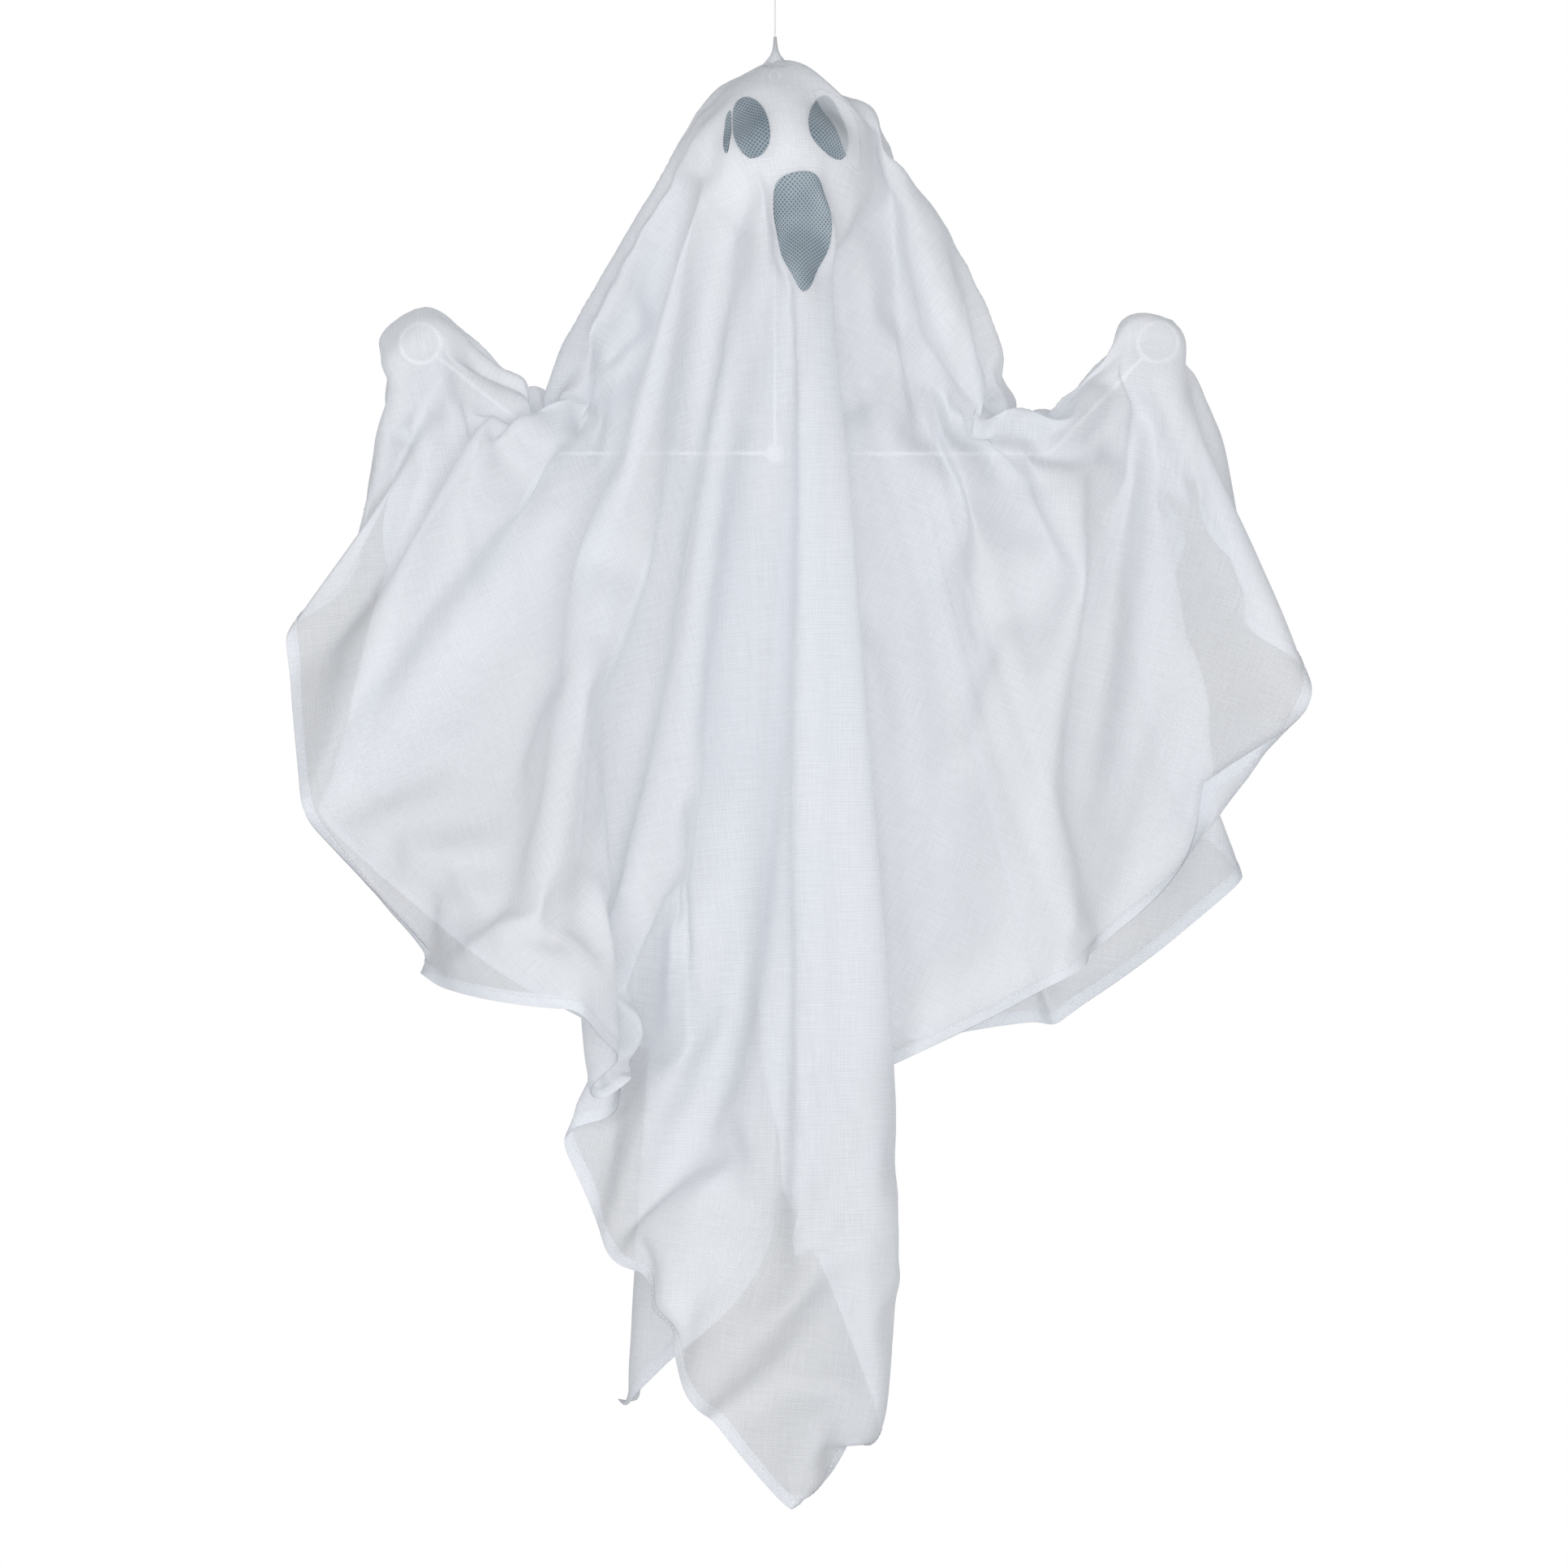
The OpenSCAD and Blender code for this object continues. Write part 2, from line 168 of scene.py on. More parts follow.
def ranged(tree, value, low, high):
    """A value from 0 to 1 spread from low to high."""
    made = node(tree, "MapRange", {"Value": value, "To Min": low, "To Max": high})
    return made.outputs["Result"]


def mixed(tree, first, second, share):
    """Two values added, the first by its share and the second by the rest."""
    one = math_node(tree, "MULTIPLY", first, share)
    other = math_node(tree, "MULTIPLY", second, 1 - share)
    return math_node(tree, "ADD", one, other)


def noise(tree, coordinates, scale, detail):
    """Plain noise."""
    values = {"Vector": coordinates, "Scale": scale, "Detail": detail}
    return node(tree, "TexNoise", values).outputs["Fac"]


def stretched_noise(tree, coordinates, along, across):
    """Noise drawn out along a thread."""
    scaled = node(tree, "Mapping", {"Vector": coordinates, "Scale": (along, across, along)})
    return noise(tree, scaled.outputs[0], 1.0, 2.0)


def bands(tree, coordinates, pitch, direction, distortion):
    """Parallel threads of a pitch in metres."""
    values = {"Vector": coordinates, "Scale": WAVE_SCALE / pitch, "Distortion": distortion,
              "Detail": 1.0, "Detail Scale": 0.6}
    return node(tree, "TexWave", values, bands_direction=direction).outputs["Fac"]


def ramp(tree, value, first, last, start=0.0, end=1.0):
    """A colour that goes from a first to a last one as a value goes from start to end."""
    made = node(tree, "ValToRGB", {"Fac": value})
    stops = made.color_ramp.elements
    stops[0].position = start
    stops[0].color = first
    stops[1].position = end
    stops[1].color = last
    return made.outputs[0]


def relief(tree, height, strength, distance):
    """A bumped normal."""
    values = {"Height": height, "Strength": strength, "Distance": distance}
    return node(tree, "Bump", values).outputs[0]


def surface_out(tree, shader):
    """The output node of a material."""
    tree.links.new(shader, tree.nodes.new("ShaderNodeOutputMaterial").inputs["Surface"])


def woven(tree, coordinates, pitch):
    """Threads that cross each other."""
    warp = bands(tree, coordinates, pitch, "X", WEAVE_WAVER)
    weft = bands(tree, coordinates, pitch, "Y", WEAVE_WAVER)
    return math_node(tree, "MAXIMUM", warp, weft)


def voile_material(name, least, most):
    """Sheer white voile, open between two shares: uneven threads, light that comes through."""
    made, tree = material(name)
    flat = node(tree, "UVMap", uv_map="flat").outputs["UV"]
    threads = woven(tree, flat, VOILE_PITCH)
    slub_u = stretched_noise(tree, flat, SLUB_ALONG, SLUB_ACROSS)
    slub_v = stretched_noise(tree, flat, SLUB_ACROSS, SLUB_ALONG)
    slubs = math_node(tree, "MULTIPLY", math_node(tree, "ADD", slub_u, slub_v), 0.5)
    cloud = noise(tree, flat, 7.0, 3.0)
    colour = ramp(tree, cloud, (0.805, 0.828, 0.868, 1), (0.855, 0.867, 0.892, 1), start=0.3, end=0.7)
    bump = relief(tree, math_node(tree, "ADD", threads, slubs), strength=0.25, distance=0.0003)
    face = node(tree, "BsdfPrincipled", {"Base Color": colour, "Roughness": 0.8, "Sheen Weight": 0.25,
                                         "Sheen Roughness": 0.4, "Specular IOR Level": 0.25,
                                         "Normal": bump})
    through = node(tree, "BsdfTranslucent", {"Color": colour, "Normal": bump})
    cloth = node(tree, "MixShader", {0: LIGHT_THROUGH, 1: face.outputs[0], 2: through.outputs[0]})
    holes = math_node(tree, "SUBTRACT", 1.0, threads)
    gaps = ranged(tree, holes, least, most)
    uneven = ranged(tree, slubs, -SLUB_OPENING, SLUB_OPENING)
    opening = math_node(tree, "ADD", gaps, uneven)
    clear = node(tree, "BsdfTransparent")
    sheer = node(tree, "MixShader", {0: opening, 1: cloth.outputs[0], 2: clear.outputs[0]})
    surface_out(tree, sheer.outputs[0])
    return made


def mesh_material():
    """Dark grey-blue mesh of the eyes and mouth, woven on the bias."""
    made, tree = material("dark_mesh")
    flat = node(tree, "UVMap", uv_map="flat").outputs["UV"]
    bias = node(tree, "Mapping", {"Vector": flat, "Rotation": (0, 0, math.radians(45))}).outputs[0]
    threads = woven(tree, bias, MESH_PITCH)
    cloud = noise(tree, flat, 34.0, 3.0)
    shade = mixed(tree, threads, cloud, share=0.5)
    colour = ramp(tree, shade, (0.09, 0.135, 0.175, 1), (0.34, 0.39, 0.43, 1), start=0.35, end=0.80)
    bump = relief(tree, threads, strength=0.4, distance=0.0003)
    face = node(tree, "BsdfPrincipled", {"Base Color": colour, "Roughness": 0.7, "Sheen Weight": 0.1,
                                         "Normal": bump})
    holes = math_node(tree, "SUBTRACT", 1.0, threads)
    clear = node(tree, "BsdfTransparent")
    opening = ranged(tree, holes, *MESH_OPENING)
    sheer = node(tree, "MixShader", {0: opening, 1: face.outputs[0], 2: clear.outputs[0]})
    surface_out(tree, sheer.outputs[0])
    return made


def thread_material():
    """White twisted cotton thread."""
    made, tree = material("thread")
    around = node(tree, "TexCoord").outputs["Object"]
    slant = (math.radians(35), math.radians(25), 0)
    twist = node(tree, "Mapping", {"Vector": around, "Rotation": slant}).outputs[0]
    plies = bands(tree, twist, PLY_PITCH, "Z", PLY_WAVER)
    fuzz = noise(tree, around, 2500.0, 3.0)
    shade = mixed(tree, plies, fuzz, share=0.7)
    colour = ramp(tree, shade, (0.60, 0.61, 0.63, 1), (0.86, 0.86, 0.87, 1))
    bump = relief(tree, shade, strength=0.6, distance=0.0001)
    face = node(tree, "BsdfPrincipled", {"Base Color": colour, "Roughness": 0.75, "Sheen Weight": 0.3,
                                         "Normal": bump})
    surface_out(tree, face.outputs[0])
    return made


def foam_material():
    """White bead foam: cells of unlike shade with fine joints between them."""
    made, tree = material("foam")
    around = node(tree, "TexCoord").outputs["Object"]
    values = {"Vector": around, "Scale": BEAD_SCALE}
    beads = node(tree, "TexVoronoi", values, feature="DISTANCE_TO_EDGE").outputs["Distance"]
    cells = node(tree, "TexVoronoi", values, feature="F1").outputs["Color"]
    shade = node(tree, "RGBToBW", {"Color": cells}).outputs[0]
    colour = ramp(tree, shade, (0.80, 0.81, 0.83, 1), (0.88, 0.885, 0.89, 1))
    bump = relief(tree, beads, strength=0.5, distance=0.001)
    face = node(tree, "BsdfPrincipled", {"Base Color": colour, "Roughness": 0.65, "Normal": bump})
    surface_out(tree, face.outputs[0])
    return made


def wire_material():
    """Wire in white enamel, a little uneven and worn through in specks."""
    made, tree = material("wire")
    around = node(tree, "TexCoord").outputs["Object"]
    runs = noise(tree, around, 180.0, 3.0)
    specks = noise(tree, around, 900.0, 4.0)
    worn = ramp(tree, specks, BLACK, WHITE, start=0.70, end=0.76)
    enamel_white = ramp(tree, runs, (0.74, 0.75, 0.77, 1), (0.86, 0.865, 0.87, 1))
    bare_metal = (0.45, 0.46, 0.48, 1)
    colour = node(tree, "MixRGB", {"Fac": worn, "Color1": enamel_white, "Color2": bare_metal})
    rough = ranged(tree, runs, low=0.28, high=0.5)
    bump = relief(tree, runs, strength=0.3, distance=0.0002)
    face = node(tree, "BsdfPrincipled", {"Base Color": colour.outputs[0], "Roughness": rough,
                                         "Normal": bump})
    surface_out(tree, face.outputs[0])
    return made


voile = voile_material("voile", *VOILE_OPENING)
veil = voile_material("veil", *VEIL_OPENING)
dark_mesh = mesh_material()
thread_white = thread_material()
foam = foam_material()
enamel = wire_material()

FINISHES = {
    "hanging_loop": thread_white, "loop_knot": thread_white, "thread_knot": thread_white,
    "head_ball": foam, "ball_collar": enamel, "spine_wire": enamel, "shoulder_rivet": enamel,
    "left_arm_wire": enamel, "right_arm_wire": enamel,
}
for name, finish in FINISHES.items():
    nodes[name].data.materials.clear()
    nodes[name].data.materials.append(finish)

# Hanging thread: straight and taut from the loop's knot down to the knot on the frame
THREAD_D = 0.0008
THREAD_ROUTE = [(0, 0, -0.029), (0, 0, -0.08375)]
THREAD_POINTS = 16
thread_top = THREAD_ROUTE[0][2]
thread_low = THREAD_ROUTE[-1][2]
thread_curve = bpy.data.curves.new("thread", "CURVE")
thread_curve.dimensions = "3D"
thread_curve.bevel_depth = THREAD_D / 2
thread_curve.bevel_resolution = 3
thread_curve.use_fill_caps = True
thread_line = thread_curve.splines.new("POLY")
thread_line.points.add(THREAD_POINTS - 1)
for i, point in enumerate(thread_line.points):
    point.co = (0, 0, thread_low + (thread_top - thread_low) * i / (THREAD_POINTS - 1), 1)
thread = link("thread", thread_curve)
thread_curve.materials.append(thread_white)
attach(thread, "thread")
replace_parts(thread, "hanging_thread")

# Cloth: one sheet with pointed front and back, its two side corners cut off straight.
# Reach is from the middle to a point of the square sheet, cut is how much of it is left.
LEFT_REACH = 0.88
RIGHT_REACH = 0.88
FRONT_REACH = 0.95
BACK_REACH = 0.89
LEFT_CUT = 0.52
RIGHT_CUT = 0.56
SHEET_TURN = math.radians(6)
SHEET_CELLS = 80
DRAPE_FRAMES = 100
LEAD_FRAMES = 25
CALM_FRAME = 60
CALM_FRAMES = 15
SEED = 0
SHEET_RISE = 0.004
SHEET_RIPPLE = 0.0004

# Finished surface: how it follows the draped points, and the depth that it keeps to
SHARPEN = 0.8
BEYOND_CUT = 3
NORMAL_STEP = 0.05
EDGE_IN = 1e-6
TINY = 1e-12
DEPTH_FREE = 0.6
DEPTH_PAST = 0.012
DEPTH_FRONT = cad_box[0].y - DEPTH_PAST
DEPTH_BACK = cad_box[1].y + DEPTH_PAST

# Frame under the cloth, as part.scad places it, with a clearance
SHOULDER_Z = -0.328
WIRE_KEEP = 0.003
HAND_KEEP = np.array([0.0165, 0.006, 0.0165])
LEFT_ELBOW = np.array([-0.135, -0.0022, SHOULDER_Z])
LEFT_HAND = np.array([-0.222, -0.0022, SHOULDER_Z + 0.069])
RIGHT_ELBOW = np.array([0.172, 0.0022, SHOULDER_Z])
RIGHT_HAND = np.array([0.240, 0.0022, SHOULDER_Z + 0.070])
HEAD = np.array([0, 0, -0.144])
HEAD_KEEP = 0.0492
FRAME_RODS = [(LEFT_ELBOW * (0, 1, 1), LEFT_ELBOW, WIRE_KEEP), (LEFT_ELBOW, LEFT_HAND, WIRE_KEEP),
              (RIGHT_ELBOW * (0, 1, 1), RIGHT_ELBOW, WIRE_KEEP), (RIGHT_ELBOW, RIGHT_HAND, WIRE_KEEP)]
FRAME_PADS = [(LEFT_HAND, HAND_KEEP), (RIGHT_HAND, HAND_KEEP), (HEAD, np.full(3, HEAD_KEEP))]


class Sheet:
    """The flat sheet as a grid on the bias, and the draped surface through it."""

    def __init__(self, cells):
        self.cells = cells
        count = cells + 1
        share = np.linspace(-1, 1, count)
        a, b = np.meshgrid(share, share, indexing="ij")
        side = (a - b) / 2
        fore = (a + b) / 2
        self.u = np.where(side < 0, side * LEFT_REACH, side * RIGHT_REACH)
        self.v = np.where(fore < 0, fore * FRONT_REACH, fore * BACK_REACH)
        self.step = np.rint(side * cells).astype(int)
        self.left_steps = round(LEFT_CUT / LEFT_REACH * cells)
        self.right_steps = round(RIGHT_CUT / RIGHT_REACH * cells)
        self.left = LEFT_REACH * self.left_steps / cells
        self.right = RIGHT_REACH * self.right_steps / cells
        self.inside = (self.step >= -self.left_steps) & (self.step <= self.right_steps)
        self.index = np.cumsum(self.inside.ravel()).reshape(count, count) - 1

    def faces(self):
        """Faces of the kept part, with triangles along the two cuts."""
        return grid_faces(self.inside, self.index)

    def flat(self):
        """Flat places of the kept points."""
        return np.stack([self.u[self.inside], self.v[self.inside]], 1)

    def corner(self, way, depth):
        """Flat place of a cut corner: way -1 left or 1 right, depth -1 front or 1 back."""
        reach, cut = (LEFT_REACH, self.left) if way < 0 else (RIGHT_REACH, self.right)
        point = FRONT_REACH if depth < 0 else BACK_REACH
        return way * cut, depth * point * (1 - cut / reach)

    def drape(self, points):
        """Keeps the draped points as a net, carried a few cells past the cuts."""
        count = self.cells + 1
        net = np.full((count, count, 3), np.nan)
        net[self.inside] = points
        for extra in range(1, BEYOND_CUT + 1):
            for i, j in np.argwhere(self.step == self.right_steps + extra):
                net[i, j] = net[i - 1, j] + net[i, j + 1] - net[i - 1, j + 1]
            for i, j in np.argwhere(self.step == -self.left_steps - extra):
                net[i, j] = net[i + 1, j] + net[i, j - 1] - net[i + 1, j - 1]
        net = sharpened(net)
        net = np.concatenate([2 * net[:1] - net[1:2], net, 2 * net[-1:] - net[-2:-1]], 0)
        first = 2 * net[:, :1] - net[:, 1:2]
        last = 2 * net[:, -1:] - net[:, -2:-1]
        self.net = np.concatenate([first, net, last], 1)

    def grid_place(self, u, v):
        """Place on the net of a flat place."""
        side = np.where(u < 0, u / LEFT_REACH, u / RIGHT_REACH)
        fore = np.where(v < 0, v / FRONT_REACH, v / BACK_REACH)
        return (fore + side + 1) / 2 * self.cells, (fore - side + 1) / 2 * self.cells

    def flat_place(self, a, b):
        """Flat place of a place on the net."""
        side = (a - b) / self.cells
        fore = (a + b) / self.cells - 1
        u = np.where(side < 0, side * LEFT_REACH, side * RIGHT_REACH)
        return u, np.where(fore < 0, fore * FRONT_REACH, fore * BACK_REACH)

    def smooth(self, a, b):
        """The smooth surface through the net, at places on the net."""
        def weights(t):
            cell = np.clip(np.floor(t).astype(int), 0, self.cells - 1)
            f = t - cell
            return cell, [(1 - f) ** 3 / 6, (3 * f ** 3 - 6 * f ** 2 + 4) / 6,
                          (-3 * f ** 3 + 3 * f ** 2 + 3 * f + 1) / 6, f ** 3 / 6]
        i, wa = weights(a)
        j, wb = weights(b)
        return sum(wa[p][:, None] * wb[q][:, None] * self.net[i + p, j + q]
                   for p in range(4) for q in range(4))

    def points(self, a, b):
        """The finished surface: the smooth one, within its depth and clear of the frame."""
        made = self.smooth(a, b)
        made[:, 1] = within(made[:, 1], DEPTH_FRONT, DEPTH_BACK)
        return clear_of_frame(made)

    def crown(self):
        """Point of the smooth surface at the middle of the sheet."""
        middle = np.array([self.cells / 2])
        return self.points(middle, middle)[0]

    def normals(self, a, b):
        """Directions out of the surface, away from what it hangs over."""
        top = self.cells - EDGE_IN
        low_a, high_a = np.clip(a - NORMAL_STEP, 0, top), np.clip(a + NORMAL_STEP, 0, top)
        low_b, high_b = np.clip(b - NORMAL_STEP, 0, top), np.clip(b + NORMAL_STEP, 0, top)
        along_a = self.points(high_a, b) - self.points(low_a, b)
        along_b = self.points(a, high_b) - self.points(a, low_b)
        out = np.cross(along_a, along_b)
        return out / np.maximum(np.linalg.norm(out, axis=1, keepdims=True), TINY)


def grid_faces(inside, index):
    """Faces between the kept points of a grid."""
    corners = [inside[:-1, :-1], inside[1:, :-1], inside[1:, 1:], inside[:-1, 1:]]
    numbers = [index[:-1, :-1], index[1:, :-1], index[1:, 1:], index[:-1, 1:]]
    kept = sum(c.astype(int) for c in corners)
    faces = []
    for i, j in np.argwhere(kept >= 3):
        faces.append([int(n[i, j]) for n, c in zip(numbers, corners) if c[i, j]])
    return faces


def sharpened(net):
    """A net whose smooth surface passes close to the points of a net, zero where there are none."""
    padded = np.pad(net, ((1, 1), (1, 1), (0, 0)), constant_values=np.nan)
    rows = (padded[:-2] + 4 * padded[1:-1] + padded[2:]) / 6
    blurred = (rows[:, :-2] + 4 * rows[:, 1:-1] + rows[:, 2:]) / 6
    return np.nan_to_num(net + SHARPEN * np.nan_to_num(net - blurred))


def within(y, low, high):
    """Draws in the part of a depth that would pass its limit."""
    limit = np.where(y < 0, -low, high)
    free = DEPTH_FREE * limit
    over = np.maximum(0, np.abs(y) - free)
    kept = np.minimum(np.abs(y), free)
    return np.sign(y) * (kept + (limit - free) * (1 - np.exp(-over / (limit - free))))


def clear_of_frame(points):
    """Moves points off the ball, the wires and the hand loops, where they would lie in them."""
    made = points.copy()
    for start, end, keep in FRAME_RODS:
        run = end - start
        share = np.clip((made - start) @ run / (run @ run), 0, 1)
        away = made - (start + share[:, None] * run)
        gap = np.maximum(np.linalg.norm(away, axis=1), TINY)
        made += away * (np.maximum(keep / gap, 1) - 1)[:, None]
    for middle, sizes in FRAME_PADS:
        away = (made - middle) / sizes
        gap = np.maximum(np.linalg.norm(away, axis=1), TINY)
        made += away * sizes * (np.maximum(1 / gap, 1) - 1)[:, None]
    return made


# Drape: what the cloth falls on, the points that lead it, and the fall itself
ARM_ROOT_Z = -0.335
ARM_R = 0.006
ARM_SIDES = 8
HAND_R = 0.0195
HAND_FLAT = 0.5
HEAD_INSET = 0.0045
HEAD_SINK = 0.6
HEAD_DEPTH = 0.054
HEAD_LEAST = 0.5
HEAD_TURN_Z = -0.155
HEAD_TAPER = 0.06
HEAD_TOP = 0.002
HEAD_SIDES = 40
# Rows of the head in pixels of the photo: height, left and right
HEAD_OUTLINE = [(92, 930, 990), (104, 912, 1008), (120, 891, 1028), (150, 866, 1059), (180, 847, 1079),
                (210, 834, 1090), (235, 836, 1086), (258, 850, 1070), (278, 876, 1044), (289, 918, 1002)]


def head_form():
    """What the cloth rests on at the head: the ball, with the room that the cloth keeps round it."""
    rows = []
    for y, x0, x1 in HEAD_OUTLINE:
        left = place(x0, y)[0] + HEAD_INSET
        right = place(x1, y)[0] - HEAD_INSET
        z = place(0, y)[1] - HEAD_SINK * HEAD_INSET
        half = (right - left) / 2
        below = max(0, HEAD_TURN_Z - z) / HEAD_TAPER
        deep = min(half, HEAD_DEPTH) * max(HEAD_LEAST, 1 - below ** 2)
        rows.append(((left + right) / 2, half, deep, z))
    points = []
    for mid, half, deep, z in rows:
        for k in range(HEAD_SIDES):
            turn = 2 * math.pi * k / HEAD_SIDES
            points.append((mid + half * math.cos(turn), deep * math.sin(turn), z))
    faces = []
    for r in range(len(rows) - 1):
        for k in range(HEAD_SIDES):
            here = r * HEAD_SIDES + k
            after = r * HEAD_SIDES + (k + 1) % HEAD_SIDES
            faces.append((here, here + HEAD_SIDES, after + HEAD_SIDES, after))
    last = (len(rows) - 1) * HEAD_SIDES
    points.append((rows[0][0], 0, rows[0][3] + HEAD_TOP))
    points.append((rows[-1][0], 0, rows[-1][3]))
    for k in range(HEAD_SIDES):
        after = (k + 1) % HEAD_SIDES
        faces.append((len(points) - 2, k, after))
        faces.append((len(points) - 1, last + after, last + k))
    made = mesh_object("head_form", points, faces)
    turned = bmesh.new()
    turned.from_mesh(made.data)
    bmesh.ops.recalc_face_normals(turned, faces=turned.faces)
    turned.to_mesh(made.data)
    turned.free()
    return made


def tube(points, radius, sides):
    """Points and faces of a round tube with closed ends along a path."""
    path = np.asarray(points, float)
    ways = np.gradient(path, axis=0)
    ways /= np.linalg.norm(ways, axis=1, keepdims=True)
    made = []
    for at, way in zip(path, ways):
        across = np.cross(way, (0, 1, 0) if abs(way[1]) < 0.9 else (1, 0, 0))
        across /= np.linalg.norm(across)
        up = np.cross(across, way)
        for k in range(sides):
            turn = 2 * math.pi * k / sides
            made.append(at + radius * (math.cos(turn) * across + math.sin(turn) * up))
    faces = []
    for r in range(len(path) - 1):
        for k in range(sides):
            here = r * sides + k
            after = r * sides + (k + 1) % sides
            faces.append((here, here + sides, after + sides, after))
    faces.append(tuple(range(sides)))
    faces.append(tuple(range(len(path) * sides - 1, (len(path) - 1) * sides - 1, -1)))
    return made, faces


def arm_form(name, *pixels):
    """What the cloth rests on at an arm."""
    path = [(0, 0, ARM_ROOT_Z)]
    for x, y in pixels:
        path.append((place(x, y)[0], 0, place(x, y)[1]))
    return mesh_object(name, *tube(path, ARM_R, ARM_SIDES))


def hand_form(name, x, y):
    """What the cloth rests on at a hand: a flat pad over the wire loop."""
    made = bmesh.new()
    bmesh.ops.create_uvsphere(made, u_segments=24, v_segments=12, radius=HAND_R)
    bmesh.ops.scale(made, vec=(1, HAND_FLAT, 1), verts=made.verts)
    bmesh.ops.translate(made, vec=(place(x, y)[0], 0, place(x, y)[1]), verts=made.verts)
    mesh = bpy.data.meshes.new(name)
    made.to_mesh(mesh)
    made.free()
    return link(name, mesh)


def drape_pins(sheet):
    """Points that lead the cloth: flat place, whether it is on the turned sheet, pixel, depth."""
    def edge(way, share, depth):
        reach = LEFT_REACH if way < 0 else RIGHT_REACH
        point = FRONT_REACH if depth < 0 else BACK_REACH
        return way * reach * (1 - share), depth * point * share
    return [
        ((0, 0), True, (954, 72), 0),
        ((-0.29, 0), True, (692, 554), 0),
        ((-0.399, 0), True, (543, 393), 0),
        ((-0.423, 0), True, (497, 396), 0),
        ((0.287, 0), True, (1235, 535), 0),
        ((0.317, 0), True, (1293, 545), 0),
        ((0.42, 0), True, (1421, 386), 0),
        ((0.45, 0), True, (1464, 427), 0),
        ((-0.0015, -0.148), True, (952, 318), -0.057),
        ((0.039, -0.148), True, (1032, 318), -0.057),
        ((-0.235, -0.085), True, (727, 505), -0.025),
        ((0.254, -0.0926), True, (1214, 520), -0.025),
        ((-sheet.left, 0.04), False, (510, 560), 0.05),
        ((-sheet.left, -0.08), False, (445, 690), 0.03),
        ((-sheet.left, -0.174), False, (357, 822), 0),
        ((-sheet.left, -0.268), False, (374, 1003), -0.03),
        (sheet.corner(-1, -1), False, (535, 1175), -0.05),
        (edge(-1, 0.64, -1), False, (738, 1358), -0.05),
        (edge(-1, 0.80, -1), False, (746, 1545), -0.03),
        (edge(-1, 0.865, -1), False, (832, 1630), -0.05),
        (edge(-1, 0.93, -1), False, (876, 1746), -0.05),
        ((0, -FRONT_REACH), False, (970, 1843), -0.06),
        (edge(1, 0.95, -1), False, (1052, 1762), -0.05),
        (edge(1, 0.80, -1), False, (980, 1555), -0.02),
        (edge(1, 0.63, -1), False, (1040, 1335), -0.045),
        (edge(1, 0.463, -1), False, (1350, 1170), -0.05),
        (sheet.corner(1, -1), False, (1483, 965), -0.03),
        ((sheet.right, -0.253), False, (1618, 857), 0),
        ((sheet.right, -0.15), False, (1540, 735), 0.035),
        ((sheet.right, -0.047), False, (1455, 600), 0.06),
        (sheet.corner(1, 1), False, (1527, 1072), 0.04),
        (edge(1, 0.50, 1), False, (1300, 1266), 0.05),
        ((0, BACK_REACH), False, (762, 1724), 0.05),
        (sheet.corner(-1, 1), False, (430, 975), 0.03),
    ]


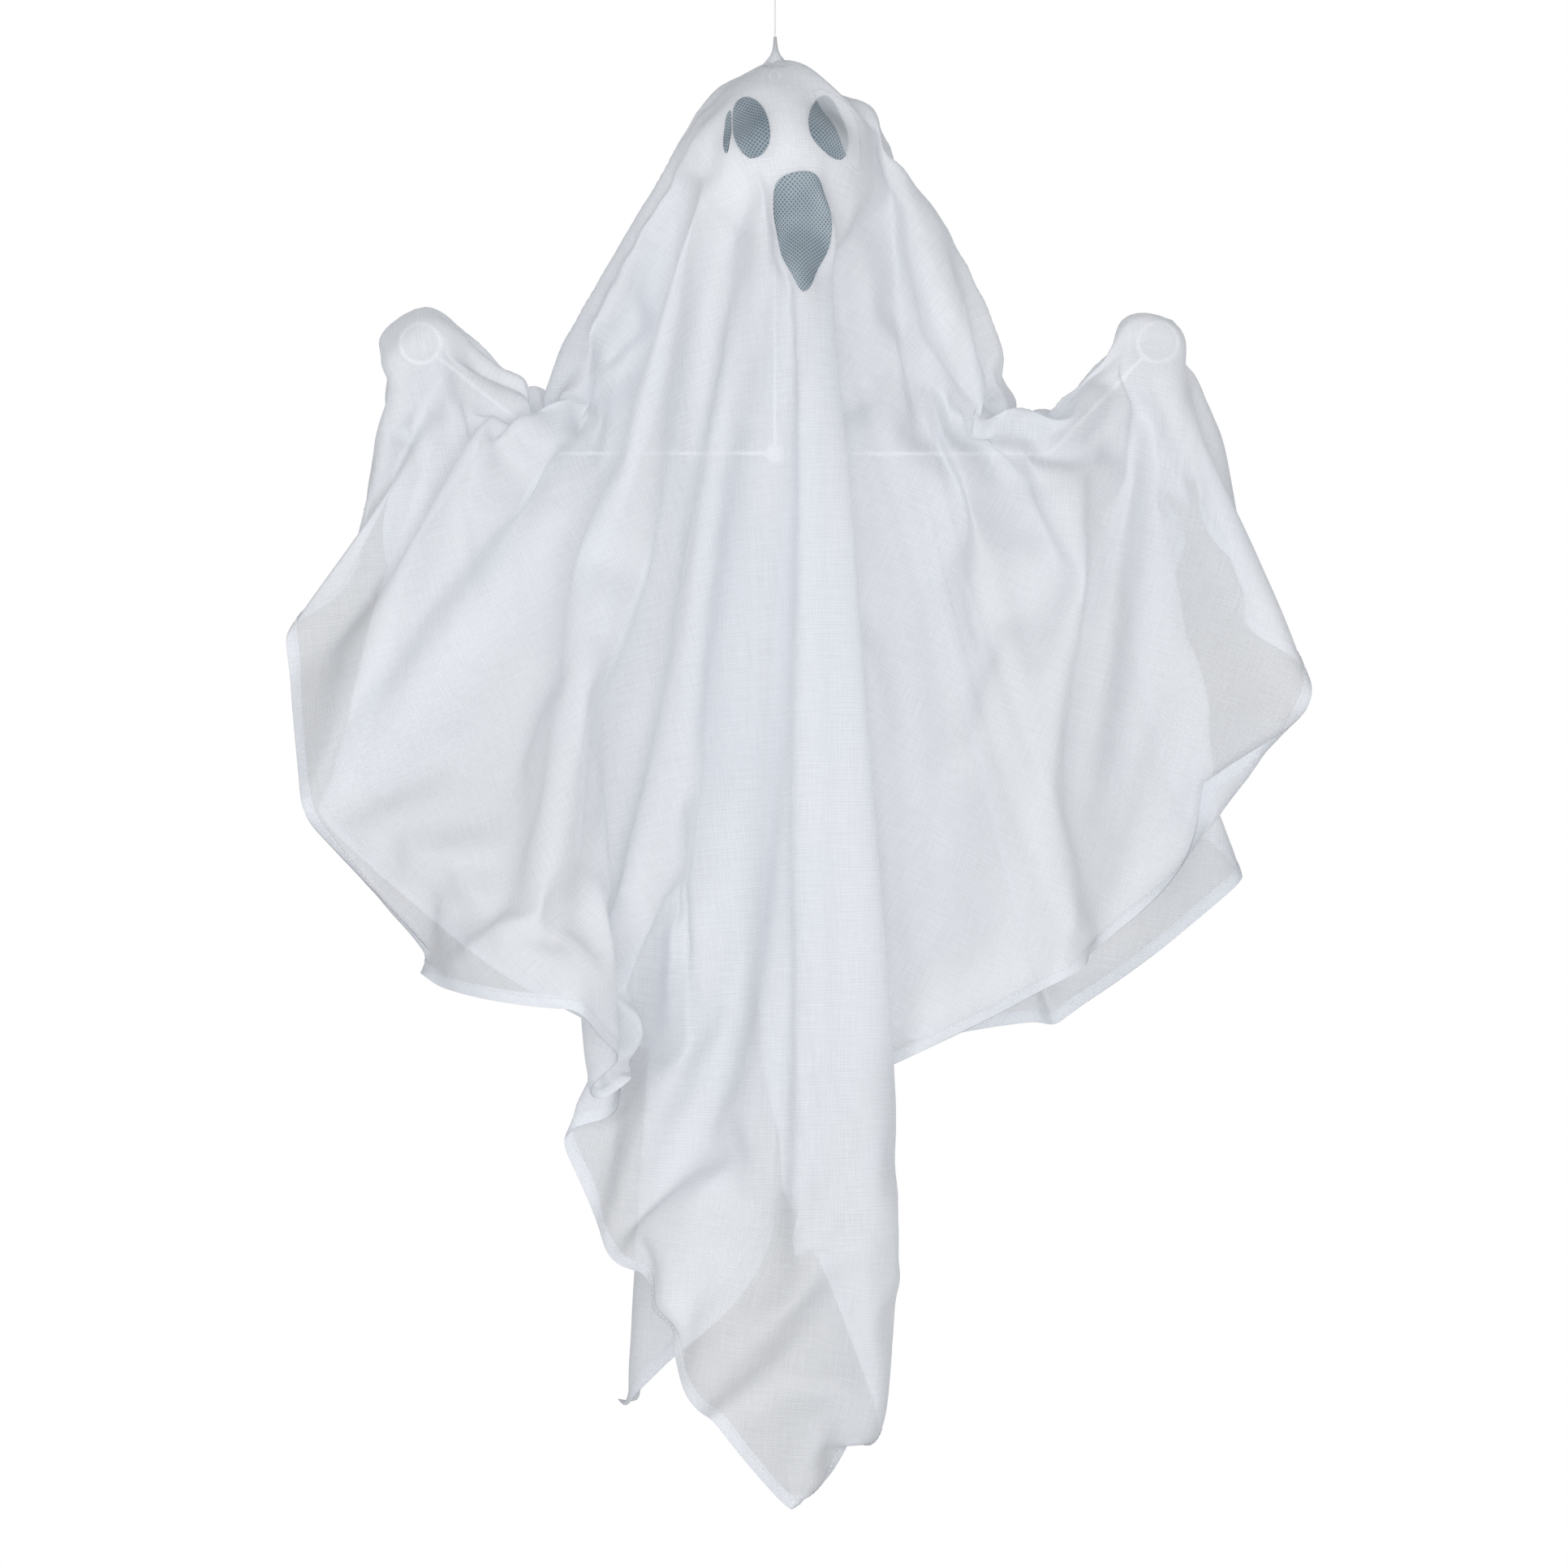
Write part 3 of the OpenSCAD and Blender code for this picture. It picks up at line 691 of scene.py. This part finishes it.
def simulate(sheet):
    """Lets the sheet fall over the head and arms, and returns where its points settle."""
    forms = [head_form(), arm_form("left_arm_form", (690, 568), (530, 420)),
             arm_form("right_arm_form", (1298, 562), (1425, 412)),
             hand_form("left_hand_form", 522, 427), hand_form("right_hand_form", 1421, 425)]
    for form in forms:
        form.modifiers.new("collision", "COLLISION")
        form.collision.thickness_outer = 0.002
        form.collision.thickness_inner = 0.01
        form.collision.cloth_friction = 5.0
        form.collision.damping = 0.5
    flat = sheet.flat()
    c, s = math.cos(SHEET_TURN), math.sin(SHEET_TURN)
    turned = flat @ np.array([[c, s], [-s, c]])
    ripple = np.random.default_rng(SEED).normal(0, SHEET_RIPPLE, len(flat))
    height = CROWN_Z + SHEET_RISE + ripple
    cloth = mesh_object("falling_sheet", np.column_stack([turned, height]), sheet.faces())
    held = cloth.vertex_groups.new(name="held")
    cloth.shape_key_add(name="Basis")
    led = cloth.shape_key_add(name="led")
    for at, on_turned, pixel, depth in drape_pins(sheet):
        places = turned if on_turned else flat
        i = int(np.argmin(np.hypot(places[:, 0] - at[0], places[:, 1] - at[1])))
        held.add([i], 1.0, "ADD")
        led.data[i].co = place_at(*pixel, depth)
    led.value = 0
    led.keyframe_insert("value", frame=1)
    led.value = 1
    led.keyframe_insert("value", frame=LEAD_FRAMES)
    fall = cloth.modifiers.new("fall", "CLOTH")
    fall.point_cache.frame_end = DRAPE_FRAMES + 1
    weave_of = fall.settings
    weave_of.quality = 7
    weave_of.mass = 0.05
    weave_of.tension_stiffness = weave_of.compression_stiffness = 15.0
    weave_of.shear_stiffness = 5.0
    weave_of.bending_stiffness = 0.14
    weave_of.tension_damping = weave_of.compression_damping = weave_of.shear_damping = 5.0
    weave_of.bending_damping = 0.5
    weave_of.vertex_group_mass = "held"
    weave_of.air_damping = 1.0
    weave_of.keyframe_insert("air_damping", frame=CALM_FRAME)
    weave_of.air_damping = 8.0
    weave_of.keyframe_insert("air_damping", frame=CALM_FRAME + CALM_FRAMES)
    touch = fall.collision_settings
    touch.collision_quality = 3
    touch.distance_min = 0.003
    touch.use_self_collision = True
    touch.self_distance_min = 0.003
    touch.self_friction = 2.0
    scene.frame_start = 1
    scene.frame_end = DRAPE_FRAMES + 1
    for number in range(1, DRAPE_FRAMES + 1):
        scene.frame_set(number)
    settled = cloth.evaluated_get(bpy.context.evaluated_depsgraph_get()).to_mesh()
    points = np.zeros(len(settled.vertices) * 3, np.float32)
    settled.vertices.foreach_get("co", points)
    for used in [cloth, *forms]:
        bpy.data.objects.remove(used)
    for action in list(bpy.data.actions):
        bpy.data.actions.remove(action)
    scene.frame_set(1)
    return points.reshape(-1, 3).astype(float)


sheet = Sheet(SHEET_CELLS)
sheet.drape(simulate(sheet))


def cloth_piece(name, points, faces, normals, flat, finish):
    """A piece of cloth with its flat coordinates and its own smooth normals."""
    used = sorted({v for f in faces for v in f})
    number = np.full(len(points), -1)
    number[used] = np.arange(len(used))
    made = mesh_object(name, points[used], [[number[v] for v in f] for f in faces])
    layer = made.data.uv_layers.new(name="flat")
    loops = np.zeros(len(made.data.loops), np.int64)
    made.data.loops.foreach_get("vertex_index", loops)
    layer.data.foreach_set("uv", flat[used][loops].astype(np.float32).ravel())
    made.data.normals_split_custom_set_from_vertices(normals[used].tolist())
    made.data.materials.append(finish)
    return made


def bend_with_arm(piece):
    """Bakes a piece's placement into its points."""
    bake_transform(piece)
    return piece


# Shroud: the draped surface at a fine step, in two halves that meet at the sheet's middle line
FINE = 4
fine_count = sheet.cells * FINE + 1
fine_i, fine_j = np.meshgrid(np.arange(fine_count), np.arange(fine_count), indexing="ij")
fine_step = fine_i - fine_j
fine_inside = (fine_step >= -sheet.left_steps * FINE) & (fine_step <= sheet.right_steps * FINE)
fine_index = np.cumsum(fine_inside.ravel()).reshape(fine_count, fine_count) - 1
fine_a = fine_i[fine_inside] / FINE
fine_b = fine_j[fine_inside] / FINE
fine_points = sheet.points(fine_a, fine_b)
fine_normals = sheet.normals(fine_a, fine_b)
fine_flat = np.stack(sheet.flat_place(fine_a, fine_b), 1)
shroud = {}
for side, mine in (("left", fine_step <= 0), ("right", fine_step >= 0)):
    half_faces = grid_faces(fine_inside & mine, fine_index)
    half = cloth_piece(side + "_shroud", fine_points, half_faces, fine_normals, fine_flat, voile)
    shroud[side] = bend_with_arm(half)

# Peak: the cloth drawn up and tied round the thread
PEAK_TOP = -0.0670
PEAK_ROWS = [(0.0085, -0.0030), (0.0052, 0.0004), (0.0034, 0.0024), (0.0023, 0.0044),
             (0.0017, 0.0062), (0.0013, 0.0082), (0.0011, 0.0104), (0.0009, 0.0126)]
PEAK_SIDES = 28
PEAK_CRIMPS = 7
PEAK_CRIMP = 0.10
PEAK_LOOK_UP = 0.002
PEAK_WEAVE = 3
crown = sheet.crown()
peak_points = []
for row_r, row_z in PEAK_ROWS:
    for k in range(PEAK_SIDES):
        peak_turn = 2 * math.pi * k / PEAK_SIDES
        crimp = row_r * (1 + PEAK_CRIMP * math.cos(PEAK_CRIMPS * peak_turn))
        toward = row_z / PEAK_ROWS[-1][1]
        peak_points.append((crown[0] * (1 - max(0, toward)) + crimp * math.cos(peak_turn),
                            crown[1] * (1 - max(0, toward)) + crimp * math.sin(peak_turn),
                            crown[2] + toward * (PEAK_TOP - crown[2])))
peak_faces = []
for r in range(len(PEAK_ROWS) - 1):
    for k in range(PEAK_SIDES):
        here = r * PEAK_SIDES + k
        after = r * PEAK_SIDES + (k + 1) % PEAK_SIDES
        peak_faces.append((here, after, after + PEAK_SIDES, here + PEAK_SIDES))
peak_faces.append(tuple(range(PEAK_SIDES - 1, -1, -1)))
peak_faces.append(tuple(range((len(PEAK_ROWS) - 1) * PEAK_SIDES, len(PEAK_ROWS) * PEAK_SIDES)))
peak_points = np.array(peak_points)
peak_out = peak_points * (1, 1, 0) + (0, 0, PEAK_LOOK_UP)
peak_out /= np.linalg.norm(peak_out, axis=1, keepdims=True)
peak = cloth_piece("peak", peak_points, peak_faces, peak_out, peak_points[:, :2] * PEAK_WEAVE, voile)
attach(peak, "ghost")

# Hem: a narrow turned edge all round the sheet, with its row of stitches
HEM_W = 0.008
HEM_T = 0.0006
HEM_STEP = 0.004
# Section of the hem: share of its width in from the edge, and of its thickness off the cloth
HEM_ROWS = [(0.0, 0.5), (0.3, 1.0), (0.7, 1.0), (1.0, 0.55),
            (1.0, -0.55), (0.7, -1.0), (0.3, -1.0), (0.0, -0.5)]
HEM_SIDES = {"right": (0, 1, 2), "left": (3, 4, 5)}
STITCH_IN = 0.0062
STITCH_L = 0.0022
STITCH_PITCH = 0.0034
STITCH_R = 0.00022
STITCH_SIDES = 5
STITCH_SHARES = np.array([0, 0.25, 0.5, 0.75, 1.0])
STITCH_LIFTS = np.array([-0.6, 0.4, 0.7, 0.4, -0.6])
outline = [(0, -FRONT_REACH), sheet.corner(1, -1), sheet.corner(1, 1),
           (0, BACK_REACH), sheet.corner(-1, 1), sheet.corner(-1, -1)]


def inset(corners, by):
    """The same outline, drawn in by a distance."""
    corners = np.asarray(corners, float)
    made = []
    for before, at, after in zip(np.roll(corners, 1, 0), corners, np.roll(corners, -1, 0)):
        first = (at - before) / np.linalg.norm(at - before)
        second = (after - at) / np.linalg.norm(after - at)
        in_first = np.array([-first[1], first[0]])
        in_second = np.array([-second[1], second[0]])
        half = in_first + in_second
        made.append(at + half * by / (1 + in_first @ in_second))
    return np.array(made)


def on_surface(flat, raise_by):
    """Points of the surface at flat places, raised off it, and the directions out of it."""
    flat = np.asarray(flat, float)
    a, b = sheet.grid_place(flat[:, 0], flat[:, 1])
    a = np.clip(a, 0, sheet.cells - EDGE_IN)
    b = np.clip(b, 0, sheet.cells - EDGE_IN)
    out = sheet.normals(a, b)
    return sheet.points(a, b) + out * np.asarray(raise_by)[:, None], out


def along_outline(corners, step):
    """Shares along each side of an outline: side number and share."""
    made = []
    for side in range(len(corners)):
        run = np.linalg.norm(np.subtract(corners[(side + 1) % len(corners)], corners[side]))
        count = max(2, round(run / step))
        made.extend((side, k / count) for k in range(count))
    return made


def outline_at(corners, side, share):
    """A flat place on a side of an outline."""
    here = np.asarray(corners[side], float)
    after = np.asarray(corners[(side + 1) % len(corners)], float)
    return here + (after - here) * share


def hem_piece(side):
    """The turned edge of one half, from the front tip to the back tip or back again."""
    stations = [x for x in along_outline(outline, HEM_STEP) if x[0] in HEM_SIDES[side]]
    stations.append((HEM_SIDES[side][-1], 1.0))
    points = []
    normals = []
    flat = []
    for across, lift in HEM_ROWS:
        row_outline = inset(outline, across * HEM_W)
        row = np.array([outline_at(row_outline, at, share) for at, share in stations])
        at, out = on_surface(row, np.full(len(row), lift * HEM_T))
        points.append(at)
        normals.append(out * np.sign(lift))
        flat.append(row)
    count = len(stations)
    rows = len(HEM_ROWS)
    faces = []
    for row in range(rows):
        after = (row + 1) % rows * count
        for k in range(count - 1):
            faces.append([row * count + k, row * count + k + 1, after + k + 1, after + k])
    faces.append([row * count for row in range(rows)])
    faces.append([row * count + count - 1 for row in range(rows - 1, -1, -1)])
    made = cloth_piece(side + "_hem", np.concatenate(points), faces, np.concatenate(normals),
                       np.concatenate(flat), voile)
    return bend_with_arm(made)


def stitch_piece(side):
    """The short threads that hold the hem of one half."""
    stitch_outline = inset(outline, STITCH_IN)
    points = []
    faces = []
    for at, share in along_outline(stitch_outline, STITCH_PITCH):
        if at not in HEM_SIDES[side]:
            continue
        run = np.linalg.norm(outline_at(stitch_outline, at, 1) - outline_at(stitch_outline, at, 0))
        shares = share + STITCH_SHARES * STITCH_L / run
        lift = HEM_T + STITCH_R * STITCH_LIFTS
        path, _ = on_surface([outline_at(stitch_outline, at, min(x, 1)) for x in shares], lift)
        made, made_faces = tube(path, STITCH_R, STITCH_SIDES)
        faces.extend([[v + len(points) for v in f] for f in made_faces])
        points.extend(made)
    made = mesh_object(side + "_hem_stitches", points, faces)
    made.data.materials.append(thread_white)
    return bend_with_arm(made)


hem = {side: hem_piece(side) for side in HEM_SIDES}
stitches = {side: stitch_piece(side) for side in HEM_SIDES}

# Face: patches of dark mesh on the front of the shroud, where the photo has them
PATCH_RINGS = 14
PATCH_SPOKES = 56
PATCH_LIFT = 0.0007
PATCH_T = 0.0006
PATCH_THIN = 0.6
PATCH_SOLE = 0.4
FIND_NEAR = 0.006
FIND_LAYER = 0.004
SEEK_STEPS = 6
SEEK_REACH = 0.004
SEEK_SLOPE = 0.001
SEEK_LEAST = 0.15
PLEAT_ROWS = 25
PLEAT_LIFTS = np.array([0.0024, 0.0028, 0.0027, 0.0025, 0.0023, 0.0021, 0.0018, 0.0013, 0.0007])
FIT_STEPS = 5
FIT_MISS = 0.0008
FIT_SHARE = 0.6


def cloth_at(flat):
    """Points of the cloth at flat places."""
    return sheet.points(*sheet.grid_place(flat[:, 0], flat[:, 1]))


def front_place(x, y):
    """Flat place of the cloth that a pixel of the photo shows."""
    away = np.linalg.norm(shown(fine_points) - np.array(place(x, y)), axis=1)
    near = np.where(away < FIND_NEAR)[0]
    first = near[np.argmin(fine_points[near, 1])]
    layer = near[fine_points[near, 1] < fine_points[first, 1] + FIND_LAYER]
    return fine_flat[layer[np.argmin(away[layer])]]


def shown_at(pixels, near):
    """Flat places of the cloth that pixels show, looked for from flat places near them."""
    target = np.array([place(x, y) for x, y in pixels])
    flat = np.array(near, float)
    e = SEEK_SLOPE
    for _ in range(SEEK_STEPS):
        along = (shown(cloth_at(flat + (e, 0))) - shown(cloth_at(flat - (e, 0)))) / (2 * e)
        across = (shown(cloth_at(flat + (0, e))) - shown(cloth_at(flat - (0, e)))) / (2 * e)
        miss = target - shown(cloth_at(flat))
        area = along[:, 0] * across[:, 1] - along[:, 1] * across[:, 0]
        area = np.copysign(np.maximum(np.abs(area), SEEK_LEAST), area)
        step_u = (miss[:, 0] * across[:, 1] - miss[:, 1] * across[:, 0]) / area
        step_v = (along[:, 0] * miss[:, 1] - along[:, 1] * miss[:, 0]) / area
        flat += np.clip(np.stack([step_u, step_v], 1), -SEEK_REACH, SEEK_REACH)
    return flat


def smooth_map(pixels, flat):
    """Flat places drawn onto one smooth map of the pixels, so that a fold leaves no jags."""
    at = np.asarray(pixels, float)
    at = (at - at.mean(0)) / np.ptp(at, axis=0)
    terms = np.column_stack([np.ones(len(at)), at, at ** 2, at[:, 0] * at[:, 1], at[:, 1] ** 3])
    good = np.ones(len(at), bool)
    for _ in range(FIT_STEPS):
        fit = np.linalg.lstsq(terms[good], flat[good], rcond=None)[0]
        miss = np.linalg.norm(terms @ fit - flat, axis=1)
        good = miss <= max(FIT_MISS, np.quantile(miss, FIT_SHARE))
    return terms @ fit


def patch(name, x, y, width, height, taper, lean):
    """An oval patch on the cloth in pixels of the photo.

    Taper makes its foot narrower, and lean moves its top to the right.
    """
    rings = [np.array([front_place(x, y)])]
    rings[0] = shown_at([(x, y)], rings[0])
    before = np.repeat(rings[0], PATCH_SPOKES, 0)
    aimed = [(x, y)]
    for ring in range(1, PATCH_RINGS + 1):
        share = ring / PATCH_RINGS
        pixels = []
        for spoke in range(PATCH_SPOKES):
            turn = 2 * math.pi * spoke / PATCH_SPOKES
            rise = share * math.sin(turn)
            reach = share * math.cos(turn) * (1 + taper * rise)
            pixels.append((x + reach * width / 2 + lean * rise, y - rise * height / 2))
        before = shown_at(pixels, before)
        rings.append(before)
        aimed.extend(pixels)
    flat = smooth_map(aimed, np.concatenate(rings))
    count = len(flat)
    edge_of = np.zeros(count)
    edge_of[-PATCH_SPOKES:] = 1
    outer, out = on_surface(flat, PATCH_LIFT + PATCH_T * (1 - PATCH_THIN * edge_of))
    inner, _ = on_surface(flat, np.full(count, PATCH_LIFT * PATCH_SOLE))
    faces = []
    for k in range(PATCH_SPOKES):
        after = (k + 1) % PATCH_SPOKES
        faces.append([0, 1 + k, 1 + after])
        faces.append([count, count + 1 + after, count + 1 + k])
        for ring in range(PATCH_RINGS - 1):
            low = 1 + ring * PATCH_SPOKES
            high = low + PATCH_SPOKES
            faces.append([low + k, high + k, high + after, low + after])
            faces.append([count + low + k, count + low + after, count + high + after, count + high + k])
        rim = 1 + (PATCH_RINGS - 1) * PATCH_SPOKES
        faces.append([rim + k, count + rim + k, count + rim + after, rim + after])
    made = cloth_piece(name + "_patch", np.concatenate([outer, inner]), faces,
                       np.concatenate([out, -out]), np.concatenate([flat, flat]), dark_mesh)
    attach(made, "ghost")
    return made


def pleat(name, left, right):
    """A pleat of the cloth that lies over a patch, between two edges in pixels of the photo."""
    steps = np.linspace(0, 1, PLEAT_ROWS)
    edges = []
    for edge in (left, right):
        edge = np.asarray(edge, float)
        at = np.linspace(0, 1, len(edge))
        edges.append(np.column_stack([np.interp(steps, at, edge[:, k]) for k in (0, 1)]))
    shares = np.linspace(0, 1, len(PLEAT_LIFTS))
    before = np.repeat([front_place(*edges[0][0])], len(shares), 0)
    rows = []
    aimed = []
    for start, end in zip(*edges):
        pixels = start + (end - start) * shares[:, None]
        before = shown_at(pixels, before)
        rows.append(before)
        aimed.extend(pixels)
    flat = smooth_map(aimed, np.concatenate(rows))
    lift = np.tile(PLEAT_LIFTS, PLEAT_ROWS)
    outer, out = on_surface(flat, lift)
    inner, _ = on_surface(flat, lift - PATCH_T)
    count = len(flat)
    across = len(shares)
    faces = []
    for r in range(PLEAT_ROWS - 1):
        for c in range(across - 1):
            here = r * across + c
            faces.append([here, here + across, here + across + 1, here + 1])
            faces.append([count + v for v in (here, here + 1, here + across + 1, here + across)])
    rim = [r * across for r in range(PLEAT_ROWS)]
    rim += [count - across + c for c in range(1, across)]
    rim += [r * across + across - 1 for r in range(PLEAT_ROWS - 2, -1, -1)]
    rim += list(range(across - 2, 0, -1))
    for k, here in enumerate(rim):
        after = rim[(k + 1) % len(rim)]
        faces.append([after, here, count + here, count + after])
    made = cloth_piece(name, np.concatenate([outer, inner]), faces,
                       np.concatenate([out, -out]), np.concatenate([flat, flat]), veil)
    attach(made, "ghost")
    return made


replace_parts(patch("left_eye", 926, 160, 45, 75, 0.05, -2), "left_eye")
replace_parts(patch("right_eye", 1020, 161, 44, 75, 0.0, -9), "right_eye")
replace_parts(patch("mouth", 989, 281, 74, 148, 0.36, 0), "mouth")
patch("left_eye_sliver", 897, 162, 8, 52, 0.0, 2)
pleat("eye_pleat", [(1000, 116), (1015, 146), (1031, 173), (1045, 194), (1054, 212)],
      [(1014, 110), (1042, 124), (1055, 150), (1060, 180), (1060, 208)])

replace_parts(shroud["left"], "shroud_front", "shroud_back", "left_wing")
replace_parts(shroud["right"], "right_wing")

# Floor: a pale round plate below the tails
FLOOR_Z = -1.25
FLOOR_R = 1.2
FLOOR_SIDES = 96
FLOOR_WHITE = 0.75
floor_points = [(0, 0, FLOOR_Z)]
for k in range(FLOOR_SIDES):
    floor_turn = 2 * math.pi * k / FLOOR_SIDES
    floor_points.append((FLOOR_R * math.cos(floor_turn), FLOOR_R * math.sin(floor_turn), FLOOR_Z))
floor_faces = [(0, 1 + k, 1 + (k + 1) % FLOOR_SIDES) for k in range(FLOOR_SIDES)]
floor = mesh_object("floor", floor_points, floor_faces)
floor_made, floor_tree = material("floor")
floor_paper = node(floor_tree, "BsdfDiffuse", {"Color": (0.86, 0.86, 0.86, 1)})
floor_white = node(floor_tree, "Emission", {"Color": WHITE, "Strength": 1.0})
floor_path = node(floor_tree, "LightPath")
floor_seen = math_node(floor_tree, "MULTIPLY", floor_path.outputs["Is Camera Ray"], FLOOR_WHITE)
floor_mix = node(floor_tree, "MixShader", {0: floor_seen, 1: floor_paper.outputs[0],
                                           2: floor_white.outputs[0]})
surface_out(floor_tree, floor_mix.outputs[0])
floor.data.materials.append(floor_made)

# Light: an even pale room, a white screen where the camera looks straight at it, and soft lamps
ROOM_LIGHT = 0.32
world = bpy.data.worlds.new("room")
world.use_nodes = True
scene.world = world
room = world.node_tree
room.nodes.clear()
room_path = node(room, "LightPath")
room_bare = math_node(room, "LESS_THAN", room_path.outputs["Transparent Depth"], 0.5)
room_seen = math_node(room, "MULTIPLY", room_path.outputs["Is Camera Ray"], room_bare)
room_seen = math_node(room, "MAXIMUM", room_seen, room_path.outputs["Is Glossy Ray"])
room_seen = math_node(room, "MAXIMUM", room_seen, room_path.outputs["Is Transmission Ray"])
room_lit = node(room, "Background", {"Color": (0.97, 0.985, 1.0, 1), "Strength": ROOM_LIGHT})
room_white = node(room, "Background", {"Color": WHITE, "Strength": 1.0})
room_mix = node(room, "MixShader", {0: room_seen, 1: room_lit.outputs[0], 2: room_white.outputs[0]})
room_out = room.nodes.new("ShaderNodeOutputWorld")
room.links.new(room_mix.outputs[0], room_out.inputs["Surface"])


def lamp(name, at, aim, size, power):
    """A soft square lamp that looks at a point."""
    data = bpy.data.lights.new(name, "AREA")
    data.size = size
    data.energy = power
    made = link(name, data)
    made.location = at
    made.rotation_euler = (Vector(aim) - Vector(at)).to_track_quat("-Z", "Y").to_euler()


lamp("key_lamp", at=(-1.2, -2.3, -0.1), aim=(0, 0, -0.6), size=1.2, power=24)
lamp("front_lamp", at=(0.2, -2.8, -0.8), aim=(0, 0, -0.62), size=1.0, power=40)
lamp("fill_lamp", at=(1.7, -2.0, -0.5), aim=(0, 0, -0.65), size=1.6, power=8)
